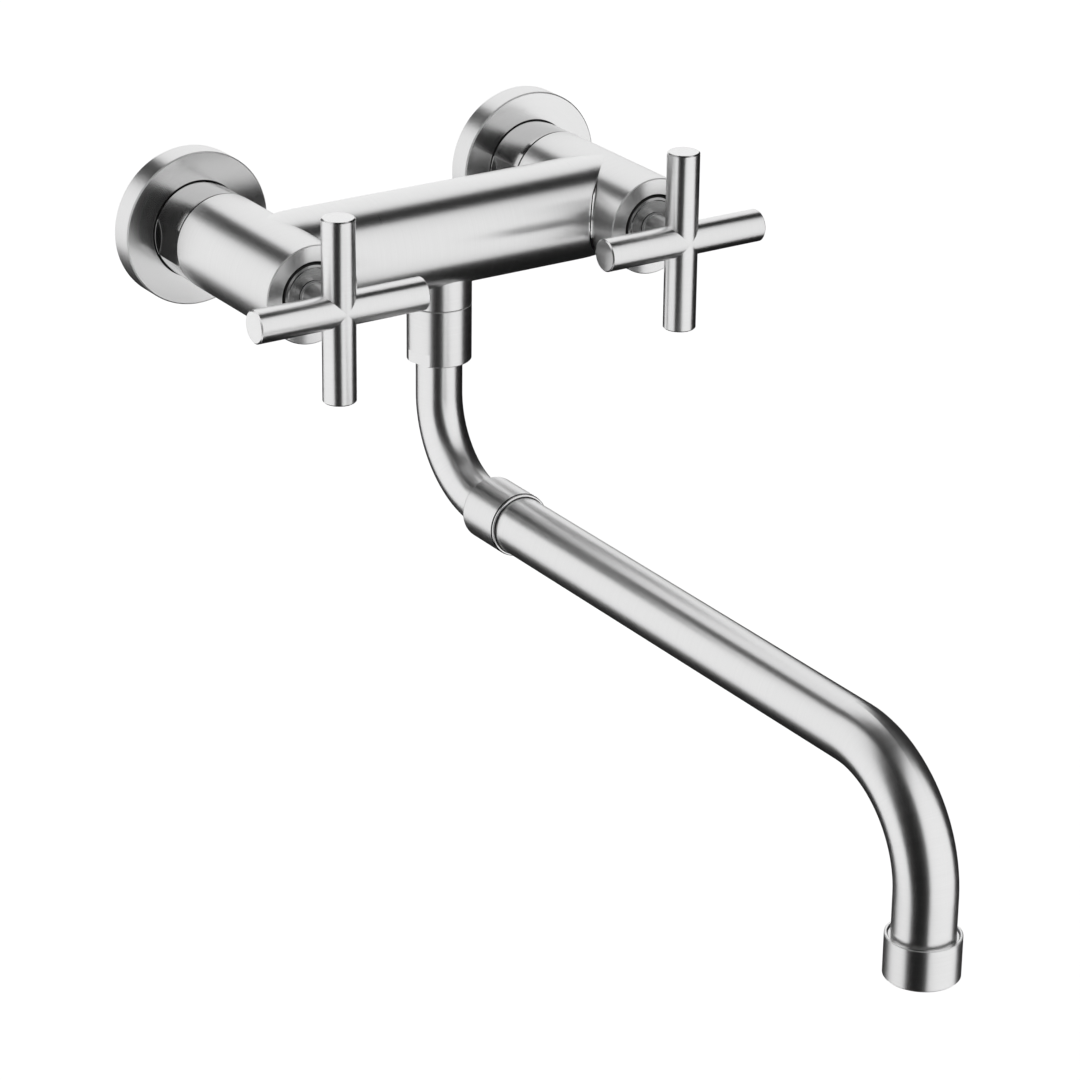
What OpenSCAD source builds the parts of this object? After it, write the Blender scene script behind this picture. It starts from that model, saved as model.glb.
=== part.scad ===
// Wall-mounted bridge mixer with two cross handles and a telescopic swivel spout.
// Sizes in millimetres. X runs right along the wall, Y into the wall, Z up.
// The origin lies on the wall plane, midway between the two inlets.

/* [Arms and bridge] */
// Distance between the two arms' axes
arm_spacing = 150; // [110:1:220]
// Distance of the arms' front faces from the wall
arm_front = 97.4; // [92:0.1:130]
// Outer diameter of the arms
arm_d = 38; // [36:0.1:44]
// Bevel round the arms' front and rear edges
arm_bevel = 0.4; // [0.2:0.1:1]
// Outer diameter of the bridge tube
bridge_d = 39.6; // [38.2:0.1:46]
// Wall of the bridge tube
bridge_wall = 4.6; // [3:0.1:4.8]
// Distance of the bridge's axis behind the arms' front faces
bridge_back = 34.2; // [33:0.1:36]
// Diameter of the water channels along the arms
channel_d = 14; // [10:0.5:15]

/* [Rosettes and unions] */
// Outer diameter of the rosettes
rosette_d = 60.4; // [52:0.1:80]
// Depth of the rosettes
rosette_t = 10.1; // [8:0.1:14]
// Sheet thickness of the rosettes
rosette_wall = 1.6; // [1:0.1:2.5]
// Bevel round the rosettes' front edge
rosette_bevel = 0.5; // [0.2:0.1:1]
// Ring gap between a rosette and its union nut
rosette_gap = 0.35; // [0.2:0.05:0.8]
// Outer diameter of the union nuts
nut_d = 37.6; // [36:0.1:40]
// Length of the union nuts in front of the rosettes
nut_show = 18; // [14:0.1:24]
// Length of the union nuts inside the rosettes
nut_hidden = 5; // [3:0.1:6]
// Width across the two flats of the union nuts
nut_flats = 34.8; // [33:0.1:35.5]
// Round shoulder left between a rosette and the flats
nut_shoulder = 0.9; // [0.5:0.1:4]
// Outer diameter of the wall unions' front thread
union_thread_d = 26.4; // [25:0.1:27]
// Outer diameter of the wall unions' stub in the wall
stub_d = 20.9; // [18:0.1:22]
// Length of the wall unions' stub in the wall
stub_l = 18; // [12:1:30]
// Offset of a wall stub from its arm's axis
union_offset = 1.5; // [0:0.1:2]
// Bore of the wall unions
union_bore_d = 12; // [8:0.5:13]
// Thickness of the inlet seals
inlet_seal_t = 2; // [1.5:0.1:3]

/* [Headworks] */
// Depth of the headwork's bore from the arm's front face to its seat
headwork_depth = 35.4; // [35.2:0.1:37]
// Diameter of the headwork's bore
headwork_bore_d = 21; // [20.8:0.1:22]
// Diameter of the ring recess in the arm's front face
recess_d = 25.6; // [25:0.1:27]
// Depth of the ring recess
recess_t = 4; // [3:0.1:5]
// Diameter of the headwork's flange
flange_d = 24; // [23.2:0.1:24.4]
// Width of the shallow slope round the flange's face
flange_slope = 1.5; // [0.5:0.1:2]
// Fall of that slope
flange_fall = 0.2; // [0.1:0.1:1]
// Bevel round the flange's face
flange_bevel = 0.3; // [0.15:0.05:0.5]
// Diameter of the spindle
spindle_d = 8.1; // [7:0.1:9]
// Thickness of each ceramic disc
disc_t = 2.6; // [2:0.1:3]
// Outer diameter of the disc chamber in the headwork
chamber_d = 17.4; // [16:0.1:18]

/* [Handles] */
// Distance of the handle bars' axes in front of the arms
handle_ahead = 18.8; // [15:0.1:30]
// Diameter of the handle bars
bar_d = 12.6; // [10:0.1:14]
// Length of the upright and the level handle bar
bar_l = 70.2; // [50:0.1:90]
// Bevel round the bars' ends
bar_bevel = 0.5; // [0.2:0.1:1]
// Diameter of the handle's neck
neck_d = 10; // [9:0.1:12]
// Diameter of the spindle's end inside the neck
spline_d = 7.2; // [6:0.1:7.6]

/* [Outlet and swivel] */
// Outer diameter of the outlet boss and the swivel nut
outlet_d = 25; // [24.4:0.1:30]
// Depth of the seam between boss and nut below the arms' axes
seam_z = 26.8; // [25:0.1:34]
// Height of the hairline seam
seam_gap = 0.35; // [0.2:0.05:0.6]
// Height of the swivel nut
nut_h = 22.6; // [20:0.05:30]
// Height of the flats on the swivel nut
swivel_flat_h = 5; // [3:0.1:5.6]
// Width across the flats of the swivel nut
swivel_flats = 22.5; // [21:0.1:24]
// Turn of the flats away from square to the wall
swivel_flat_turn = 15.6; // [0:0.1:90]
// Outer diameter of the boss's thread
boss_thread_d = 21.6; // [21.2:0.1:22]
// Length of the boss's thread
boss_thread_l = 9; // [8:0.1:10]
// Outer diameter of the tail that turns in the boss
tail_d = 18.6; // [18.2:0.1:18.8]

/* [Spout] */
// Outer diameter of the thin tube
thin_d = 18; // [16:0.1:18]
// Wall of the thin tube
thin_wall = 1.5; // [1:0.1:2]
// Bend radius of the thin tube's centre line
thin_bend = 35; // [28:0.1:50]
// Depth of the level tubes' axis below the arms' axes
level_z = 98.8; // [96:0.1:130]
// Outer diameter of the wide tube
wide_d = 22.3; // [22.2:0.1:24]
// Wall of the wide tube
wide_wall = 1; // [0.8:0.1:1]
// Bend radius of the wide tube's centre line
wide_bend = 43; // [36:0.1:60]
// Distance of the water outlet's axis from the wall
outlet_ahead = 373.9; // [340:0.1:500]
// Travel of the telescopic slide
slide_travel = 100; // [40:1:105]
// Outer diameter of the sliding collar
collar_d = 24.8; // [24.6:0.1:28]
// Length of the sliding collar without its rim ring
collar_l = 20.6; // [20:0.1:30]
// Rounding of the collar's rear edge
collar_round = 1.2; // [0.5:0.1:1.4]
// Width of the collar's rim ring
rim_w = 0.95; // [0.8:0.05:2]
// Width of the rail that keeps the spout's end upright
rail_w = 3; // [2:0.1:4]

/* [Jet regulator] */
// Outer diameter of the regulator sleeve
sleeve_d = 26.7; // [26.2:0.1:30]
// Height of the regulator sleeve
sleeve_h = 15.6; // [15:0.1:22]
// Depth of the sleeve's lower end below the arms' axes
sleeve_low_z = 171.6; // [165:0.1:240]
// Sheet thickness round the sleeve's mouth
sleeve_wall = 0.9; // [0.6:0.1:1]
// Depth of the ring recess in the sleeve's upper end
sleeve_recess = 0.8; // [0.4:0.1:2]
// Rings of water slots in the jet former
jet_rings = 3; // [1:1:3]

/* [Hidden] */
$fn = 96;

// Clearances
thread_gap = 0.05;   // radial, between mating threads
running_gap = 0.05;  // radial, of turning and sliding fits
body_gap = 0.35;     // between pieces that move past each other
eps = 1;             // overshoot of cutting tools

// Distances from the wall along an arm
arm_seam = 0.4;      // dark seam between a union nut and its arm
nut_collar_t = 6.6;  // thickness of the union nut's inner collar
catch_t = 2.5;       // thickness of the arm's own collar, held by the nut's
nut_rear = rosette_t - nut_hidden;
nut_front = rosette_t + nut_show;
arm_rear = nut_front + arm_seam;
nut_floor = nut_front - nut_collar_t;
inlet_face = nut_floor - catch_t;
union_front = inlet_face - inlet_seal_t;
union_neck = nut_rear - 0.1;
bridge_set = arm_front - bridge_back;
seat = arm_front - headwork_depth;

// Stack of the headwork, counted from the seat
seal_grip = 0.8;     // how far the headwork reaches over its seat seal
flange_proud = 0.3;  // how far the flange's face stands out of the arm's front face
stack_seal = 2.8;
stack_fixed = stack_seal + disc_t;
stack_turning = stack_fixed + running_gap + disc_t;
stack_window = stack_turning + 3.45;
stack_flange = stack_window + 4;
stack_washer = stack_flange + 2.45;
stack_roof = stack_washer + 1;
disc_d = chamber_d - 0.2;
headwork_rear = seat + stack_seal - seal_grip;
flange_front = arm_front + flange_proud;
window_d = 7;
washer_bore_d = spindle_d + 2 * running_gap;
seal_groove_w = 1.9;
seal_groove_r = spindle_d / 2 - 1.2;
seat_bore_d = 11;
groove_deep = 11;    // depths of the spindle's two seal grooves below the flange
groove_high = 7;
spindle_groove_1 = flange_front - groove_deep;
spindle_groove_2 = flange_front - groove_high;

// Handle
neck_gap = 0.3;
neck_rim = 0.7;      // flared rim at the neck's end
neck_rear = flange_front + neck_gap;
handle_set = arm_front + handle_ahead;
spindle_end = handle_set - bar_d / 2 + 1;
grub_d = 3;
grub_set = neck_rear + 6;

// Outlet, as depths below the arms' axes
boss_low = seam_z + boss_thread_l;
nut_top = seam_z + seam_gap;
nut_low = nut_top + nut_h;
slip_t = 2.3;
tail_flange_t = 2.8;
tail_top = bridge_d / 2 + 1.4;
tail_play = 0.3;
slip_low_t = 1.5;
tail_flange_top = boss_low + slip_t + tail_play;
tail_flange_low = tail_flange_top + tail_flange_t;
nut_floor_z = tail_flange_low + tail_play + slip_low_t;
swivel_bore_d = boss_thread_d + 2 * thread_gap;
tail_bore_d = tail_d - 5.4;
tail_groove_d = tail_d - 3.2;
tail_groove_h = 2.2;
tail_grooves = [tail_top + 2, tail_top + 7.4];
boss_bore_d = tail_d + 2 * running_gap;

// Spout, as distances from the wall
elbow_end = bridge_set + thin_bend;
elbow_show = 1.9;    // straight thin tube between its bend and the collar
collar_wall = 1.8;
chamber_l = 10.1;    // room for the bush and both wipers
collar_rear = elbow_end + elbow_show;
collar_front = collar_rear + collar_l;
chamber_rear = collar_rear + collar_wall;
wide_rear = chamber_rear + chamber_l;
wide_bore_d = wide_d - 2 * wide_wall;
bush_l = 2.6;
wiper_l = 2;
wiper_pitch = 2.5;
chamber_bore_d = wide_bore_d + 1.5;
stop_rear = collar_front + 2.9;
stop_l = 3;
guide_rear = stop_rear + stop_l + slide_travel + 0.5;
guide_l = 10;
rail_gap = 0.4;
rail_spare = 8;      // how far the rail reaches past the guide ring
rail_rear = stop_rear + stop_l + 0.5;
rail_front = guide_rear + guide_l + rail_spare;
wide_bend_start = outlet_ahead - wide_bend;
sleeve_top_z = sleeve_low_z - sleeve_h;
adapter_top_z = sleeve_top_z + sleeve_recess;
adapter_d = sleeve_d - 2 * sleeve_wall - 0.4;
wide_end_z = adapter_top_z + 7.4;
adapter_low_z = wide_end_z + 2.2;
sleeve_lip_z = sleeve_low_z - 0.8;
former_d = wide_d - 0.2;
regulator_seal_t = 1.4;

steel = [0.72, 0.72, 0.73];
dark_steel = [0.5, 0.5, 0.52];
brass = [0.78, 0.66, 0.38];
ceramic = [0.93, 0.93, 0.9];
rubber = [0.12, 0.12, 0.13];
nylon = [0.85, 0.86, 0.88];

// A turned piece: points are pairs of radius and height
module turned(points) {
    rotate_extrude() polygon(points);
}

// A plain tube or ring standing on z = 0
module ring(outer_d, inner_d, h) {
    difference() {
        cylinder(d = outer_d, h = h);
        translate([0, 0, -eps]) cylinder(d = inner_d, h = h + 2 * eps);
    }
}

// A solid bar standing on z = 0 with a bevel at both ends
module bevelled_bar(d, h, bevel) {
    turned([
        [0, 0], [d / 2 - bevel, 0], [d / 2, bevel],
        [d / 2, h - bevel], [d / 2 - bevel, h], [0, h]
    ]);
}

// Places a piece on one arm's axis, with its z counted from the wall
module on_arm(side) {
    translate([side * arm_spacing / 2, 0, 0]) rotate([90, 0, 0]) children();
}

// Places a piece on the outlet's upright axis, with its z counted downwards
module under_bridge() {
    translate([0, -bridge_set, 0]) rotate([180, 0, 0]) children();
}

// Places a piece on the level tubes' axis, with its z counted from the wall
module on_level_tube() {
    translate([0, 0, -level_z]) rotate([90, 0, 0]) children();
}

// Places a piece on the water outlet's upright axis, with its z counted downwards
module at_outlet() {
    translate([0, -outlet_ahead, 0]) rotate([180, 0, 0]) children();
}

// A quarter bend in the plane x = 0 that leaves upright and ends level
module quarter_bend(d, bend, start) {
    rotate([0, -90, 0])
        rotate_extrude(angle = 90, start = start) translate([bend, 0]) circle(d = d);
}

module rosette(side) {
    bore_r = nut_d / 2 + rosette_gap;
    outer_r = rosette_d / 2;
    color(steel) on_arm(side) turned([
        [outer_r - rosette_wall, 0], [outer_r, 0], [outer_r, rosette_t - rosette_bevel],
        [outer_r - rosette_bevel, rosette_t], [bore_r, rosette_t],
        [bore_r, rosette_t - rosette_wall],
        [outer_r - rosette_wall, rosette_t - rosette_wall]
    ]);
}

// Short eccentric union: a stub in the wall, a plain middle and a front thread
module wall_union(side) {
    color(brass) on_arm(side) difference() {
        union() {
            translate([side * union_offset, 0, -stub_l]) bevelled_bar(stub_d, stub_l, 0.8);
            translate([side * union_offset / 2, 0, 0])
                cylinder(d = union_thread_d - 1, h = union_neck);
            translate([0, 0, union_neck])
                bevelled_bar(union_thread_d, union_front - union_neck, 0.6);
        }
        translate([side * union_offset / 2, 0, -stub_l - eps])
            cylinder(d = union_bore_d, h = stub_l + union_front + 2 * eps);
    }
}

module union_nut(side) {
    nut_r = nut_d / 2;
    thread_r = union_thread_d / 2 + thread_gap;
    collar_bore_r = thread_r - 2.25;
    flat_l = nut_front - rosette_t - nut_shoulder;
    color(steel) on_arm(side) difference() {
        turned([
            [thread_r, nut_rear], [nut_r - 0.5, nut_rear], [nut_r, nut_rear + 0.5],
            [nut_r, nut_front - arm_bevel], [nut_r - arm_bevel, nut_front],
            [collar_bore_r, nut_front], [collar_bore_r, nut_floor], [thread_r, nut_floor]
        ]);
        for (flat = [-1, 1])
            translate([flat * (nut_flats / 2 + nut_r), 0, nut_front - flat_l / 2 + eps / 2])
                cube([nut_d, nut_d, flat_l + eps], center = true);
    }
}

module inlet_seals() {
    color(rubber) for (side = [-1, 1])
        on_arm(side) translate([0, 0, union_front])
            ring(union_thread_d - 0.8, channel_d, inlet_seal_t);
}

// Thin cup with a rim, dropped into each arm's inlet
module inlet_strainers() {
    cup_r = channel_d / 2 - 0.3;
    rim_r = channel_d / 2 + 1.1;
    sheet = 0.5;
    cup_l = 6;
    hole_d = 2.2;
    color(nylon) for (side = [-1, 1])
        on_arm(side) translate([0, 0, inlet_face]) difference() {
            turned([
                [cup_r - sheet, 0], [rim_r, 0], [rim_r, sheet], [cup_r, sheet],
                [cup_r, cup_l], [0, cup_l], [0, cup_l - sheet], [cup_r - sheet, cup_l - sheet]
            ]);
            for (turn = [0 : 60 : 300]) rotate(turn) {
                translate([cup_r - 3 * sheet, 0, cup_l / 2]) rotate([0, 90, 0])
                    cylinder(d = hole_d, h = 2 * eps);
                translate([cup_r / 2, 0, cup_l - 2 * sheet]) cylinder(d = hole_d, h = 2 * eps);
            }
        }
}

// Valve housing: the arm with its captive neck, channel, seat and front recess
module arm(side) {
    arm_r = arm_d / 2;
    neck_r = union_thread_d / 2 + thread_gap - 2.5;  // clears the nut's inner collar
    catch_r = union_thread_d / 2 - 0.3;
    color(steel) on_arm(side) difference() {
        turned([
            [0, inlet_face], [catch_r, inlet_face], [catch_r, nut_floor],
            [neck_r, nut_floor], [neck_r, arm_rear], [arm_r - arm_bevel, arm_rear],
            [arm_r, arm_rear + arm_bevel], [arm_r, arm_front - arm_bevel],
            [arm_r - arm_bevel, arm_front], [0, arm_front]
        ]);
        translate([0, 0, inlet_face - eps])
            cylinder(d = channel_d, h = seat - inlet_face + 2 * eps);
        translate([0, 0, inlet_face - eps]) cylinder(r = channel_d / 2 + 1.2, h = eps + 0.5);
        translate([0, 0, seat]) cylinder(d = headwork_bore_d, h = headwork_depth);
        translate([0, 0, arm_front - recess_t]) cylinder(d = recess_d, h = recess_t + eps);
        translate([0, 0, seat + stack_window]) rotate([0, -side * 90, 0])
            cylinder(d = window_d + 1, h = arm_d);
    }
}

// Level tube, saddled onto both arms: it tapers there to end flush with their crowns
module bridge() {
    bridge_r = bridge_d / 2;
    end_r = arm_d / 2 + 0.05;
    taper = 15;
    color(steel) translate([0, -bridge_set, 0]) difference() {
        rotate([0, 90, 0]) translate([0, 0, -arm_spacing / 2]) turned([
            [0, 0], [end_r, 0], [bridge_r, taper], [bridge_r, arm_spacing - taper],
            [end_r, arm_spacing], [0, arm_spacing]
        ]);
        rotate([0, 90, 0])
            cylinder(d = bridge_d - 2 * bridge_wall, h = arm_spacing + eps, center = true);
        for (side = [-1, 1])
            translate([side * arm_spacing / 2, 0, 0]) rotate([90, 0, 0])
                cylinder(d = arm_d, h = 2 * bridge_d, center = true);
        rotate([180, 0, 0]) cylinder(d = tail_bore_d + 2, h = bridge_d);
    }
}

// Valve body: sloped flange in the arm's recess, threaded body and disc chamber
module headwork(side) {
    body_r = headwork_bore_d / 2 - thread_gap;
    flange_r = flange_d / 2;
    face_r = flange_r - flange_slope;
    face_low = flange_front - flange_bevel;
    flange_rear = arm_front - recess_t;
    chamber_roof = seat + stack_roof;
    bore_r = spindle_d / 2 + running_gap;
    color(brass) on_arm(side) difference() {
        turned([
            [chamber_d / 2, headwork_rear], [body_r, headwork_rear], [body_r, flange_rear],
            [flange_r, flange_rear], [flange_r, face_low - flange_fall],
            [face_r, face_low], [face_r - flange_bevel, flange_front], [bore_r, flange_front],
            [bore_r, chamber_roof], [chamber_d / 2, chamber_roof]
        ]);
        translate([0, 0, seat + stack_window]) rotate([0, 90, 0])
            cylinder(d = window_d, h = 2 * headwork_bore_d, center = true);
    }
}

module seat_seals() {
    color(rubber) for (side = [-1, 1])
        on_arm(side) translate([0, 0, seat]) ring(disc_d, seat_bore_d, stack_seal);
}

// Fixed ceramic discs: two opposite water ports each
module fixed_discs() {
    port_d = disc_d / 3.2;
    color(ceramic) for (side = [-1, 1])
        on_arm(side) translate([0, 0, seat + stack_seal]) difference() {
            cylinder(d = disc_d, h = disc_t);
            for (port = [-1, 1])
                translate([port * disc_d / 4.4, 0, -eps]) cylinder(d = port_d, h = disc_t + 2 * eps);
        }
}

// Turning ceramic disc: ports a quarter turn away, and the driver's slot on top
module turning_disc(side) {
    port_d = disc_d / 3.2;
    color(ceramic) on_arm(side) translate([0, 0, seat + stack_turning - disc_t]) difference() {
        cylinder(d = disc_d - 0.6, h = disc_t);
        for (port = [-1, 1])
            translate([0, port * disc_d / 4.4, -eps]) cylinder(d = port_d, h = disc_t + 2 * eps);
        translate([0, 0, disc_t]) cube([disc_d + eps, 3.2, 2], center = true);
    }
}

module thrust_washers() {
    color(nylon) for (side = [-1, 1])
        on_arm(side) translate([0, 0, seat + stack_washer])
            ring(chamber_d - 0.2, washer_bore_d, stack_roof - stack_washer);
}

// Spindle: driver blade, flange under the washer, two seal grooves and the handle's end
module spindle(side) {
    shaft_r = spindle_d / 2;
    driver_rear = seat + stack_turning - 1;
    flange_rear = seat + stack_flange;
    flange_top = seat + stack_washer - running_gap;
    color(brass) on_arm(side) {
        turned([
            [0, flange_rear], [chamber_d / 2 - body_gap, flange_rear],
            [chamber_d / 2 - body_gap, flange_top], [shaft_r, flange_top],
            [shaft_r, spindle_groove_1], [seal_groove_r, spindle_groove_1],
            [seal_groove_r, spindle_groove_1 + seal_groove_w],
            [shaft_r, spindle_groove_1 + seal_groove_w], [shaft_r, spindle_groove_2],
            [seal_groove_r, spindle_groove_2],
            [seal_groove_r, spindle_groove_2 + seal_groove_w],
            [shaft_r, spindle_groove_2 + seal_groove_w], [shaft_r, neck_rear],
            [spline_d / 2, neck_rear], [spline_d / 2, spindle_end], [0, spindle_end]
        ]);
        translate([-(disc_d - 1.2) / 2, -1.6, driver_rear])
            cube([disc_d - 1.2, 3.2, flange_rear - driver_rear]);
    }
}

module spindle_seals(side) {
    color(rubber) on_arm(side)
        for (groove = [spindle_groove_1, spindle_groove_2])
            translate([0, 0, groove]) ring(spindle_d, 2 * seal_groove_r, seal_groove_w);
}

// Cross handle: two crossing bars of one size on a short neck
module handle(side) {
    color(steel) on_arm(side) difference() {
        union() {
            translate([0, 0, handle_set]) {
                translate([0, -bar_l / 2, 0]) rotate([-90, 0, 0])
                    bevelled_bar(bar_d, bar_l, bar_bevel);
                translate([-bar_l / 2, 0, 0]) rotate([0, 90, 0])
                    bevelled_bar(bar_d, bar_l, bar_bevel);
            }
            turned([
                [0, neck_rear], [neck_d / 2 + neck_rim, neck_rear],
                [neck_d / 2, neck_rear + neck_rim], [neck_d / 2, handle_set - 0.1], [0, handle_set - 0.1]
            ]);
        }
        translate([0, 0, neck_rear - eps])
            cylinder(d = spline_d, h = spindle_end - neck_rear + eps);
        translate([0, 0, grub_set]) rotate([90, 0, 0]) cylinder(d = grub_d, h = neck_d);
    }
}

module grub_screw(side) {
    color(dark_steel) on_arm(side) translate([0, -spline_d / 2, grub_set]) rotate([90, 0, 0])
        cylinder(d = grub_d, h = (neck_d - spline_d) / 2 - 0.2);
}

// Boss brazed under the bridge, with the thread that carries the swivel nut
module outlet_boss() {
    color(steel) difference() {
        under_bridge() turned([
            [boss_bore_d / 2, bridge_d / 4], [outlet_d / 2, bridge_d / 4], [outlet_d / 2, seam_z],
            [boss_thread_d / 2, seam_z], [boss_thread_d / 2, boss_low], [boss_bore_d / 2, boss_low]
        ]);
        translate([0, -bridge_set, 0]) rotate([0, 90, 0])
            cylinder(d = bridge_d, h = arm_spacing, center = true);
    }
}

module swivel_nut() {
    outer_r = outlet_d / 2;
    tube_bore_r = thin_d / 2 + body_gap;
    color(steel) under_bridge() difference() {
        turned([
            [swivel_bore_d / 2, nut_top], [outer_r - 0.2, nut_top], [outer_r, nut_top + 0.2],
            [outer_r, nut_low - 0.4], [outer_r - 0.4, nut_low], [tube_bore_r, nut_low],
            [tube_bore_r, nut_floor_z], [swivel_bore_d / 2, nut_floor_z]
        ]);
        for (flat = [-1, 1])
            rotate(-swivel_flat_turn)
                translate([flat * (swivel_flats + outlet_d) / 2, 0, nut_low - swivel_flat_h / 2 + eps / 2])
                    cube([outlet_d, 2 * outlet_d, swivel_flat_h + eps], center = true);
    }
}

// Two slip rings, above and below the tail's flange
module slip_rings() {
    inner_d = thin_d + 2 * body_gap + 0.2;
    color(nylon) under_bridge() {
        translate([0, 0, boss_low]) ring(swivel_bore_d - 0.2, inner_d, slip_t);
        translate([0, 0, nut_floor_z - slip_low_t])
            ring(swivel_bore_d - 0.2, inner_d, slip_low_t);
    }
}

// Turned tail of the spout, with two seal grooves and the flange held by the nut
module spout_tail() {
    tail_r = tail_d / 2;
    groove_r = tail_groove_d / 2;
    groove_1 = tail_grooves[0];
    groove_2 = tail_grooves[1];
    color(brass) under_bridge() turned([
        [tail_bore_d / 2, tail_top], [tail_r, tail_top],
        [tail_r, groove_1], [groove_r, groove_1], [groove_r, groove_1 + tail_groove_h],
        [tail_r, groove_1 + tail_groove_h], [tail_r, groove_2], [groove_r, groove_2],
        [groove_r, groove_2 + tail_groove_h], [tail_r, groove_2 + tail_groove_h],
        [tail_r, tail_flange_top], [swivel_bore_d / 2 - body_gap, tail_flange_top],
        [swivel_bore_d / 2 - body_gap, tail_flange_low], [tail_bore_d / 2, tail_flange_low]
    ]);
}

module tail_seals() {
    color(rubber) under_bridge()
        for (groove = tail_grooves)
            translate([0, 0, groove]) ring(tail_d, tail_groove_d, tail_groove_h);
}

// One stretch of the thin tube's path, as a solid of the given diameter
module thin_path(d, overshoot) {
    translate([0, -bridge_set, -level_z + thin_bend])
        cylinder(d = d, h = level_z - thin_bend - tail_flange_low + overshoot);
    translate([0, -elbow_end, -level_z + thin_bend]) quarter_bend(d, thin_bend, 90);
    on_level_tube() translate([0, 0, elbow_end])
        cylinder(d = d, h = guide_rear + guide_l + 0.5 - elbow_end + overshoot);
}

// Thin tube: down from the nut, one bend, then level into the wide tube
module spout_elbow() {
    color(steel) difference() {
        thin_path(thin_d, 0);
        thin_path(thin_d - 2 * thin_wall, eps);
    }
}

// Notched ring on the thin tube's inner end
module guide_ring() {
    color(nylon) on_level_tube() translate([0, 0, guide_rear]) difference() {
        ring(wide_bore_d - 2 * running_gap, thin_d, guide_l);
        translate([0, -wide_bore_d / 2, guide_l / 2])
            cube([rail_w + 2 * rail_gap, wide_bore_d - thin_d + 0.6, guide_l + 2 * eps], center = true);
    }
}

// Sleeve on the wide tube's rear end, with the chamber for bush and wipers
module slide_collar() {
    outer_r = collar_d / 2;
    entry_r = thin_d / 2 + body_gap;
    socket_r = wide_d / 2 + thread_gap;
    color(steel) on_level_tube() difference() {
        rotate_extrude() {
            translate([0, collar_rear + collar_round]) square([outer_r, collar_l - collar_round]);
            translate([0, collar_rear]) square([outer_r - collar_round, collar_l / 2]);
            translate([outer_r - collar_round, collar_rear + collar_round]) circle(r = collar_round);
        }
        translate([0, 0, collar_rear - eps]) cylinder(r = entry_r, h = collar_l + 2 * eps);
        translate([0, 0, chamber_rear]) cylinder(d = chamber_bore_d, h = collar_l);
        translate([0, 0, wide_rear]) cylinder(r = socket_r, h = collar_l);
    }
}

// Rounded rim ring in the collar's mouth
module collar_ring() {
    round_r = rim_w / 2 - 0.05;
    outer_r = collar_d / 2 - 0.1;
    inner_r = wide_d / 2 + 0.15;
    color(steel) on_level_tube() translate([0, 0, collar_front + 0.2]) rotate_extrude() {
        translate([inner_r, 0]) square([outer_r - round_r - inner_r, rim_w]);
        translate([outer_r - round_r, rim_w / 2]) circle(r = round_r);
    }
}

module slide_bush() {
    color(nylon) on_level_tube() translate([0, 0, chamber_rear])
        ring(chamber_bore_d - 0.1, thin_d + 2 * running_gap, bush_l);
}

module slide_seals() {
    color(rubber) on_level_tube()
        for (wiper = [0, 1])
            translate([0, 0, chamber_rear + bush_l + 0.4 + wiper * wiper_pitch])
                ring(chamber_bore_d - 0.1, thin_d + 2 * running_gap, wiper_l);
}

// The wide tube's path, as a solid of the given diameter
module wide_path(d, overshoot) {
    on_level_tube() translate([0, 0, wide_rear - overshoot])
        cylinder(d = d, h = wide_bend_start - wide_rear + overshoot);
    translate([0, -wide_bend_start, -level_z - wide_bend]) quarter_bend(d, wide_bend, 270);
    at_outlet() translate([0, 0, level_z + wide_bend])
        cylinder(d = d, h = wide_end_z - level_z - wide_bend + overshoot);
}

// Wide tube: slides over the thin tube and bends down to the outlet
module spout_tube() {
    color(steel) difference() {
        wide_path(wide_d, 0);
        wide_path(wide_bore_d, eps);
    }
}

module stop_ring() {
    color(brass) on_level_tube() translate([0, 0, stop_rear])
        ring(wide_bore_d, thin_d + 2 * body_gap, stop_l);
}

// Rail brazed into the wide tube, running in the guide ring's notch
module guide_rail() {
    color(dark_steel) on_level_tube() translate([0, 0, rail_rear]) intersection() {
        ring(wide_bore_d, thin_d + 2 * body_gap, rail_front - rail_rear);
        translate([-rail_w / 2, -wide_bore_d, 0])
            cube([rail_w, wide_bore_d, rail_front - rail_rear]);
    }
}

// Threaded ring on the tube's end, just below the sleeve's upper edge
module outlet_adapter() {
    color(steel) at_outlet() turned([
        [wide_d / 2, adapter_top_z], [adapter_d / 2 - 0.3, adapter_top_z],
        [adapter_d / 2, adapter_top_z + 0.3], [adapter_d / 2, adapter_low_z],
        [wide_d / 2, adapter_low_z]
    ]);
}

module regulator_sleeve() {
    outer_r = sleeve_d / 2;
    thread_r = adapter_d / 2 + thread_gap;
    mouth_r = outer_r - sleeve_wall;
    lip_r = former_d / 2 - 0.9;
    cage_r = former_d / 2 + 0.1;
    color(steel) at_outlet() turned([
        [mouth_r, sleeve_top_z], [outer_r - 0.3, sleeve_top_z], [outer_r, sleeve_top_z + 0.3],
        [outer_r, sleeve_low_z - 0.5], [outer_r - 0.5, sleeve_low_z], [lip_r, sleeve_low_z],
        [lip_r, sleeve_lip_z], [cage_r, sleeve_lip_z], [cage_r, adapter_low_z + 0.2],
        [thread_r, adapter_low_z + 0.2], [thread_r, adapter_top_z + 1], [mouth_r, adapter_top_z + 1]
    ]);
}

module regulator_seal() {
    color(rubber) at_outlet() translate([0, 0, wide_end_z])
        ring(former_d, wide_bore_d - 1.6, regulator_seal_t);
}

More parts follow.
